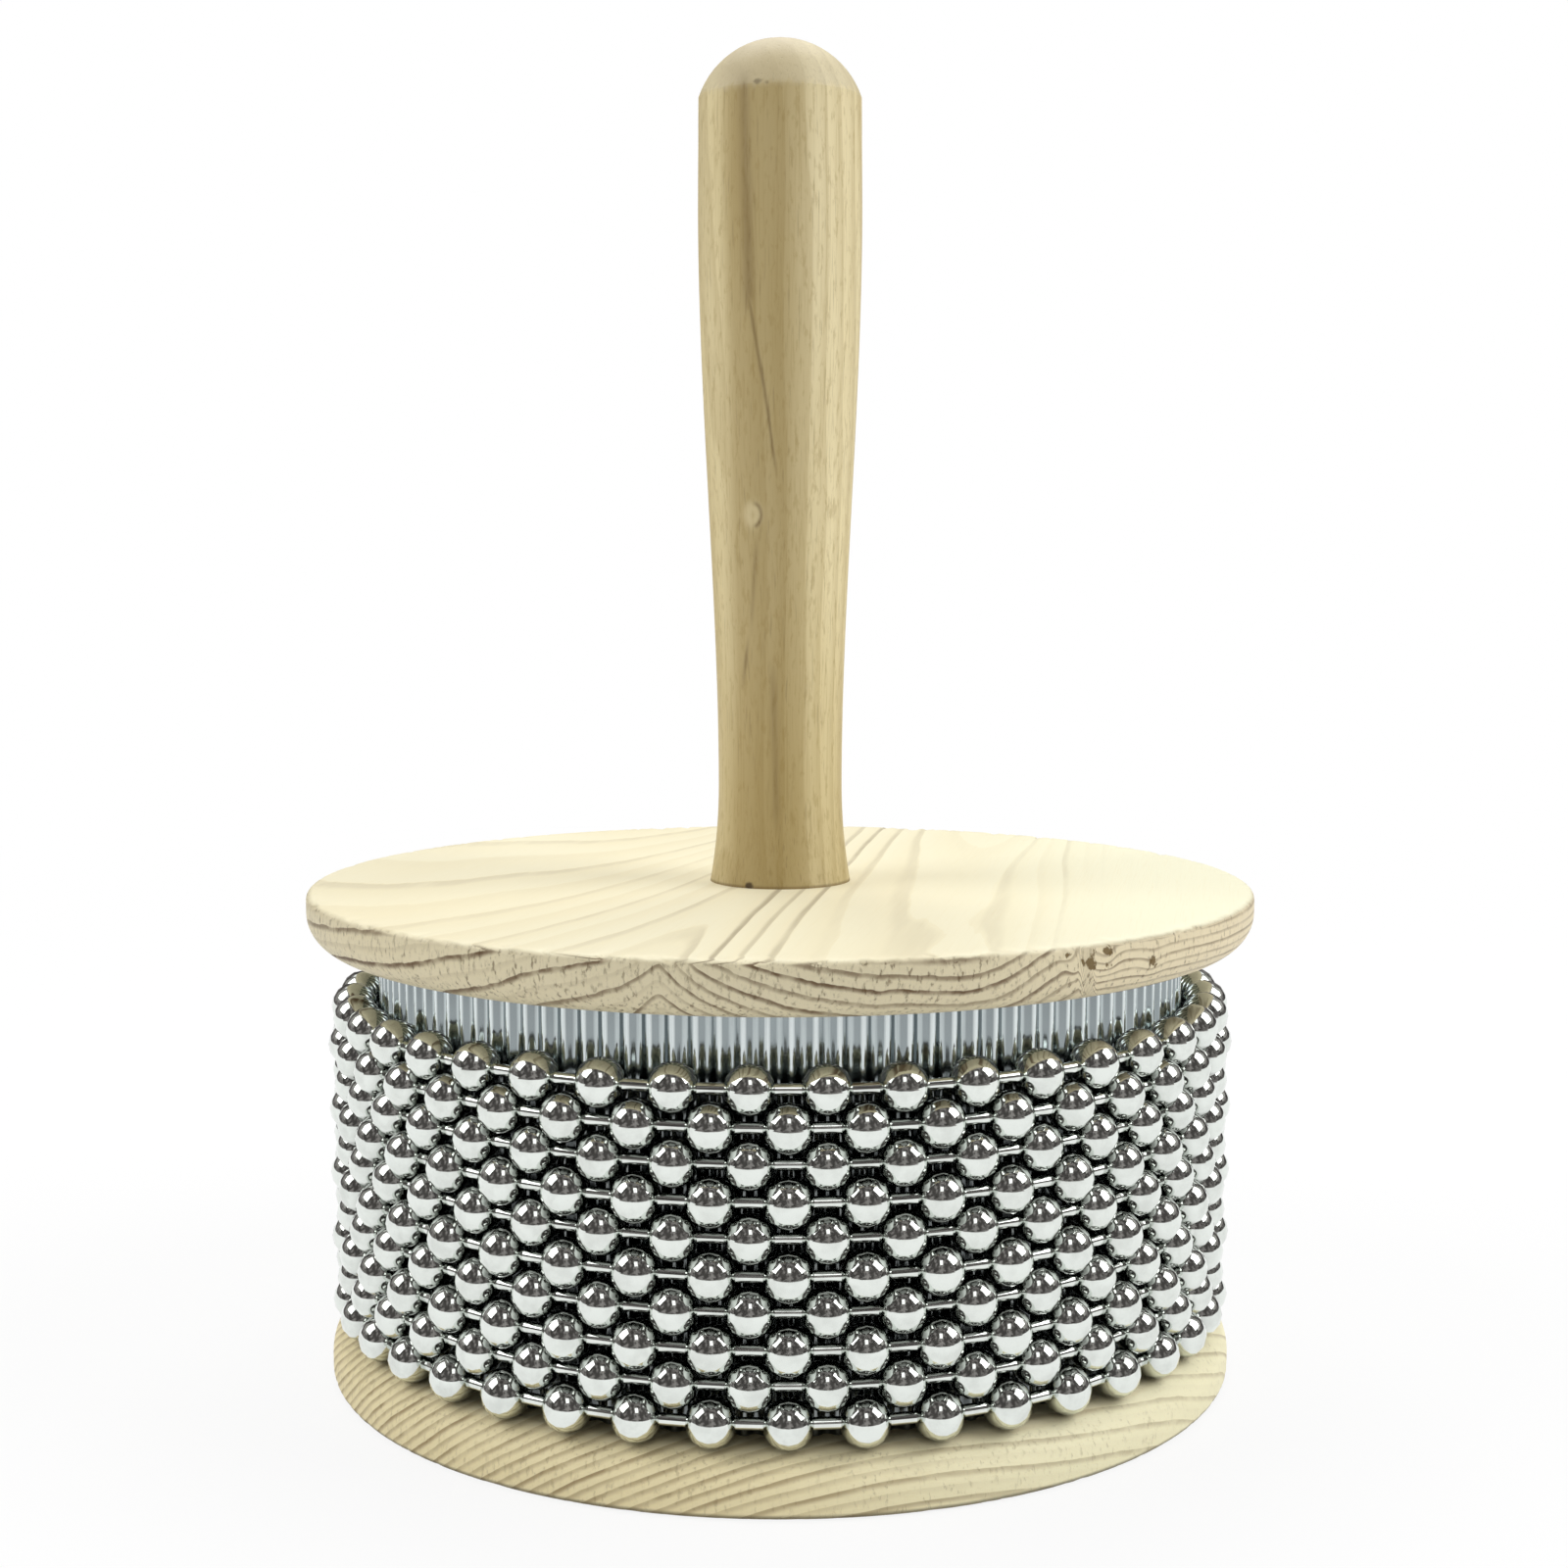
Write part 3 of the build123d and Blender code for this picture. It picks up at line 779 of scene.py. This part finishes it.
def sleeveTree():
    tree, wire, given = newTree("ribbedSheet", {
        "Ridge Radius": "Float", "Rib Count": "Int", "Rib Depth": "Float", "Steps": "Int", "Low": "Float",
        "High": "Float", "Seam Angle": "Float", "Sheet Material": "Material"})
    columns = given["Rib Count"] * given["Steps"] + 1.0
    sheet = wire.make("GeometryNodeMeshGrid", {"Size X": 1.0, "Size Y": 1.0,
                                               "Vertices X": columns, "Vertices Y": 2})
    x, y = wire.make("GeometryNodeInputPosition").split()[:2]  # both from -0.5 to 0.5
    sweep = given["Seam Angle"] / 2 + (x + 0.5) * (2 * math.pi - given["Seam Angle"])
    angle = sweep + math.pi / 2
    dip = (1.0 - wire.sum("COSINE", sweep * given["Rib Count"])) / 2 * given["Rib Depth"]
    radius = given["Ridge Radius"] - dip
    spot = wire.join(X=radius * wire.sum("COSINE", angle), Y=radius * wire.sum("SINE", angle),
                     Z=given["Low"] + (y + 0.5) * (given["High"] - given["Low"]))
    rolled = wire.make("GeometryNodeSetPosition", {"Geometry": sheet, "Position": spot})
    endTree(wire, rolled, given["Sheet Material"])
    return tree


def thicken(piece):
    wall = piece.modifiers.new("sheet", "SOLIDIFY")
    wall.thickness = sleeve["sheet"] * mm
    wall.offset = -1.0


sleevePiece = grow("ribbedSleeve", sleeveTree(), {
    "Ridge Radius": sleeve["ridge"] * mm, "Rib Count": sleeve["ribs"], "Rib Depth": sleeve["depth"] * mm,
    "Steps": sleeve["steps"], "Low": sleeve["low"] * mm, "High": sleeve["high"] * mm,
    "Seam Angle": sleeve["seam"] / sleeve["ridge"], "Sheet Material": sleeveMat}, thicken)
print("sleeve faces:", len(sleevePiece.data.polygons))


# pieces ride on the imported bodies
def dress(piece, body, slotName, *nodes):
    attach(piece, body)
    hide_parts(*nodes)


dress(handlePiece, "drum", "handle_wood", "handle")
dress(topPiece, "drum", "disc_wood", "top_disc")
dress(bottomPiece, "drum", "disc_wood", "bottom_disc")
dress(sleevePiece, "drum", "sleeve_steel", "ribbed_sleeve")
for number, loop in enumerate(loopPieces, 1):
    dress(loop, f"loop_{number:02d}", "chain_steel", f"loop_{number:02d}_balls", f"loop_{number:02d}_links")
for nodeName, material in (("drum_core", corePineMat), ("handle_screw", screwMat)):
    node = bpy.data.objects[nodeName]
    node.data.materials.clear()
    node.data.materials.append(material)
print("pieces dressed")


# studio: white floor and background, cards and a floor sheet for the steel to mirror, and soft lights
studio = {"floor": 3.0, "floorWhite": 0.90, "floorGlow": 0.86, "glowFrom": 0.12, "glowTo": 0.6, "ambient": 0.44,
          "dark": tone(92, 88, 87), "dim": tone(200, 197, 193), "bright": tone(228, 225, 221),
          "patch": tone(178, 172, 171), "patchNoise": ((2.2, 2.2, 2.2), 2.0), "patchSpan": (0.42, 0.66),
          "patchShare": 0.9, "cardLow": 0.004, "cardColumns": 16, "cardRows": 8}
# bearing of the middle, half width, bottom and top in degrees; distance in metres; tone; seen in mirrors alone
cards = {
    "frontCard": (-90.0, 78.0, 0.0, 26.0, 1.7, "dark", True),
    "frontHigh": (-90.0, 78.0, 26.0, 90.0, 1.7, "dark", True),
    "backCard": (90.0, 52.0, 0.0, 42.0, 1.7, "dark", False),
    "leftCard": (180.0, 40.0, 0.0, 13.0, 1.7, "dark", False),
    "rightCard": (0.0, 40.0, 0.0, 13.0, 1.7, "dark", False),
    "leftHigh": (180.0, 40.0, 13.0, 84.0, 1.8, "dim", True),
    "rightHigh": (0.0, 40.0, 13.0, 84.0, 1.8, "bright", True),
}
frontSheet = {"bearing": -90.0, "half": 62.0, "reach": (0.36, 0.72, 1.7)}
lights = {
    "backLight": {"at": (0.0, 0.55, 1.00), "aim": (0.0, 0.0, 0.06), "size": (0.8, 0.6), "watts": 4.9},
    "leftLight": {"at": (-0.97, -0.14, 0.85), "aim": (0.0, 0.0, 0.08), "size": (0.8, 0.8), "watts": 5.4},
    "rightLight": {"at": (0.97, -0.14, 0.85), "aim": (0.0, 0.0, 0.08), "size": (0.8, 0.8), "watts": 7.1},
    "frontSpark": {"at": (0.10, -1.08, 1.08), "aim": (0.0, 0.0, 0.06), "size": (0.36, 0.56), "watts": 0.9},
}
view = {"at": (0.0005, -0.3090, 0.1069), "pitch": 5.687, "lens": 53.71, "sensor": 36.0, "near": 0.01}


def seenDirectly(wire):  # camera, mirror and glass rays meet the white background
    path = wire.make("ShaderNodeLightPath", out=("Is Camera Ray", "Is Glossy Ray", "Is Transmission Ray"))
    return wire.sum("MINIMUM", path[0] + path[1] + path[2], 1.0)


def floorMaterial():
    mat = bpy.data.materials.new("whiteFloor")
    mat.use_nodes = True
    mat.node_tree.nodes.clear()
    wire = Wire(mat.node_tree)
    plain = wire.make("ShaderNodeBsdfDiffuse", {"Color": grey(studio["floorWhite"])})
    glow = wire.make("ShaderNodeEmission", {"Color": grey(1.0), "Strength": 1.0})
    share = placeOn(wire).length().step(studio["glowFrom"], studio["glowTo"], studio["floorGlow"], 1.0)
    mixed = wire.make("ShaderNodeMixShader", {0: seenDirectly(wire) * share, 1: plain, 2: glow})
    wire.make("ShaderNodeOutputMaterial", {"Surface": mixed})
    return mat


def cardMaterial(name, colour):  # plain card with painted patches of light, like the dim side of a room
    mat, wire, shader = newMaterial(name)
    patch = cloud(wire, placeOn(wire), *studio["patchNoise"]).step(*studio["patchSpan"])
    patched = paint(wire, colour, [(patch * studio["patchShare"], studio["patch"])])
    wire.feed(shader.inputs["Base Color"], patched)
    shader.inputs["Roughness"].default_value = 1.0
    shader.inputs["Specular IOR Level"].default_value = 0.0
    return mat


def sheetObject(name, rows, material):  # a grid of points, row by row
    wide = len(rows[0])
    firsts = [r * wide + c for r in range(len(rows) - 1) for c in range(wide - 1)]
    faces = [(n, n + 1, n + wide + 1, n + wide) for n in firsts]
    mesh = bpy.data.meshes.new(name)
    mesh.from_pydata([point for row in rows for point in row], [], faces)
    mesh.materials.append(material)
    piece = bpy.data.objects.new(name, mesh)
    scene.collection.objects.link(piece)
    return piece


def arcRow(bearing, half, out, high):  # points on an arc about the axis
    columns = studio["cardColumns"]
    turns = [math.radians(bearing + half * (2 * n / columns - 1)) for n in range(columns + 1)]
    return [(out * math.cos(turn), out * math.sin(turn), high) for turn in turns]


def cardObject(name, rows, material, mirrorOnly):  # never in the picture itself
    card = sheetObject(name, rows, material)
    card.visible_camera = False
    card.visible_diffuse = not mirrorOnly
    card.visible_shadow = not mirrorOnly


reach = studio["floor"]
sheetObject("studioFloor", [[(x, y, 0.0) for x in (-reach, reach)] for y in (-reach, reach)], floorMaterial())
cardMats = {kind: cardMaterial(kind + "Card", studio[kind]) for kind in ("dark", "dim", "bright")}
for name, (bearing, half, low, top, distance, kind, mirrorOnly) in cards.items():
    lifts = [math.radians(low + (top - low) * n / studio["cardRows"]) for n in range(studio["cardRows"] + 1)]
    cardRows = [arcRow(bearing, half, distance * math.cos(lift), studio["cardLow"] + distance * math.sin(lift))
                for lift in lifts]
    cardObject(name, cardRows, cardMats[kind], mirrorOnly)
sheetRows = [arcRow(frontSheet["bearing"], frontSheet["half"], out, studio["cardLow"])
             for out in frontSheet["reach"]]
cardObject("frontSheet", sheetRows, cardMats["dark"], True)

for name, spec in lights.items():
    lamp = bpy.data.lights.new(name, "AREA")
    lamp.shape = "RECTANGLE"
    lamp.size, lamp.size_y = spec["size"]
    lamp.energy = spec["watts"]
    holder = bpy.data.objects.new(name, lamp)
    holder.location = spec["at"]
    holder.rotation_euler = (Vector(spec["aim"]) - Vector(spec["at"])).to_track_quat("-Z", "Y").to_euler()
    scene.collection.objects.link(holder)

world = bpy.data.worlds.new("studio")
world.use_nodes = True
world.node_tree.nodes.clear()
worldWire = Wire(world.node_tree)
ambient = worldWire.make("ShaderNodeBackground", {"Color": grey(studio["ambient"]), "Strength": 1.0})
white = worldWire.make("ShaderNodeBackground", {"Color": grey(1.0), "Strength": 1.0})
mixed = worldWire.make("ShaderNodeMixShader", {0: seenDirectly(worldWire), 1: ambient, 2: white})
worldWire.make("ShaderNodeOutputWorld", {"Surface": mixed})
scene.world = world

eye = bpy.data.cameras.new("photoView")
eye.sensor_width = view["sensor"]
eye.lens = view["lens"]
eye.clip_start = view["near"]
eyeHolder = bpy.data.objects.new("photoView", eye)
eyeHolder.location = view["at"]
eyeHolder.rotation_euler = (math.radians(90 - view["pitch"]), 0.0, 0.0)
scene.collection.objects.link(eyeHolder)
scene.camera = eyeHolder
scene.view_settings.view_transform = "Standard"
print("studio ready")
